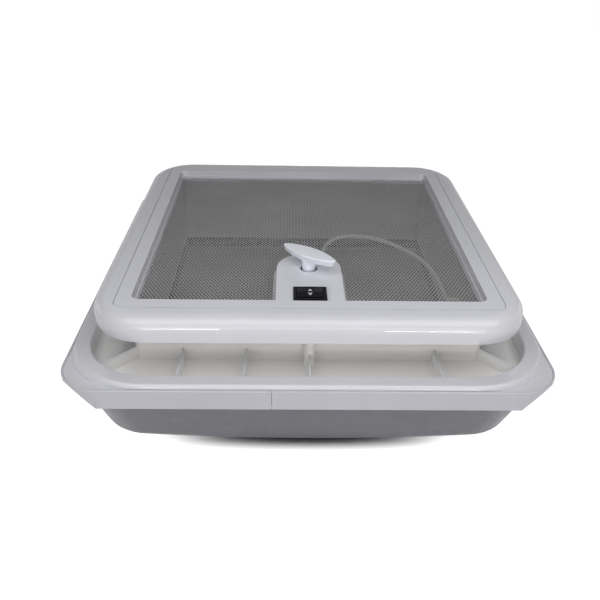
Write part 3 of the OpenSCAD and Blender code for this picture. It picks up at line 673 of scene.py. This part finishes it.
def floor():
    """Pale floor that shows white, with the shadow kept close under the part."""
    bpy.ops.mesh.primitive_plane_add(size=FLOOR_SIZE, location=(0, 0, cad_box[0].z - FLOOR_GAP))
    plane = bpy.context.object
    plane.name = "floor"
    mat, tree, shader = material("floor")
    shader.inputs["Roughness"].default_value = 0.9
    shader.inputs["Specular IOR Level"].default_value = 0.1
    openness = tree.nodes.new("ShaderNodeAmbientOcclusion")
    openness.inputs["Distance"].default_value = SHADOW_REACH
    shade = ramp(tree, openness.outputs["AO"], 0.12, 0.78, *SHADOW_RANGE)
    tree.links.new(shade, shader.inputs["Base Color"])
    glow = tree.nodes.new("ShaderNodeEmission")
    tree.links.new(ramp(tree, openness.outputs["AO"], 0, 0.97, *SHADOW_RANGE), glow.inputs["Color"])
    both = tree.nodes.new("ShaderNodeAddShader")
    tree.links.new(shader.outputs[0], both.inputs[0])
    tree.links.new(glow.outputs[0], both.inputs[1])
    choice = tree.nodes.new("ShaderNodeMixShader")
    tree.links.new(background_ray(tree), choice.inputs[0])
    tree.links.new(shader.outputs[0], choice.inputs[1])
    tree.links.new(both.outputs[0], choice.inputs[2])
    tree.links.new(choice.outputs[0], tree.nodes["Material Output"].inputs["Surface"])
    plane.data.materials.append(mat)


def world():
    """Weak even light, behind a white backdrop."""
    made = bpy.data.worlds.new("studio")
    made.use_nodes = True
    tree = made.node_tree
    light = tree.nodes["Background"]
    light.inputs["Color"].default_value = (1, 1, 1, 1)
    light.inputs["Strength"].default_value = WORLD_LEVEL
    backdrop = tree.nodes.new("ShaderNodeBackground")
    backdrop.inputs["Color"].default_value = (1, 1, 1, 1)
    backdrop.inputs["Strength"].default_value = 1
    choice = tree.nodes.new("ShaderNodeMixShader")
    tree.links.new(background_ray(tree), choice.inputs[0])
    tree.links.new(light.outputs[0], choice.inputs[1])
    tree.links.new(backdrop.outputs[0], choice.inputs[2])
    tree.links.new(choice.outputs[0], tree.nodes["World Output"].inputs["Surface"])
    bpy.context.scene.world = made


def area_light(name, place, target, width, height, power):
    """Soft box at a place that looks at a target."""
    lamp = bpy.data.lights.new(name, "AREA")
    lamp.shape = "RECTANGLE"
    lamp.size, lamp.size_y = width, height
    lamp.energy = power
    obj = bpy.data.objects.new(name, lamp)
    obj.location = place
    obj.rotation_euler = (Vector(target) - Vector(place)).to_track_quat("-Z", "Y").to_euler()
    bpy.context.scene.collection.objects.link(obj)


def camera():
    """Camera in the photograph's place, turned down, round and about its own axis."""
    lens = bpy.data.cameras.new("camera")
    lens.lens = CAM_LENS
    lens.sensor_width = CAM_SENSOR
    lens.clip_start = 0.01
    obj = bpy.data.objects.new("camera", lens)
    down, yaw, roll = (math.radians(a) for a in (CAM_DOWN, CAM_YAW, CAM_ROLL))
    turn = Matrix.Rotation(yaw, 3, "Z")
    right = turn @ Vector((1, 0, 0))
    up = turn @ Vector((0, math.sin(down), math.cos(down)))
    tilted_right = math.cos(roll) * right + math.sin(roll) * up
    tilted_up = math.cos(roll) * up - math.sin(roll) * right
    back = tilted_right.cross(tilted_up)
    axes = Matrix((tilted_right, tilted_up, back)).transposed()
    obj.matrix_world = Matrix.Translation(Vector(CAM_PLACE) * MM) @ axes.to_4x4()
    bpy.context.scene.collection.objects.link(obj)
    bpy.context.scene.camera = obj


camera()
materials = make_materials()
dress_nodes(materials)
fly_screen(materials)
dome(materials)
wing_knob(materials)
rocker_mark(materials)
supply_lead(materials)
for name, width in SOFT_EDGES.items():
    soften(name, width)
floor()
world()
for lamp in LAMPS:
    area_light(*lamp)
bpy.context.scene.view_settings.view_transform = "Standard"
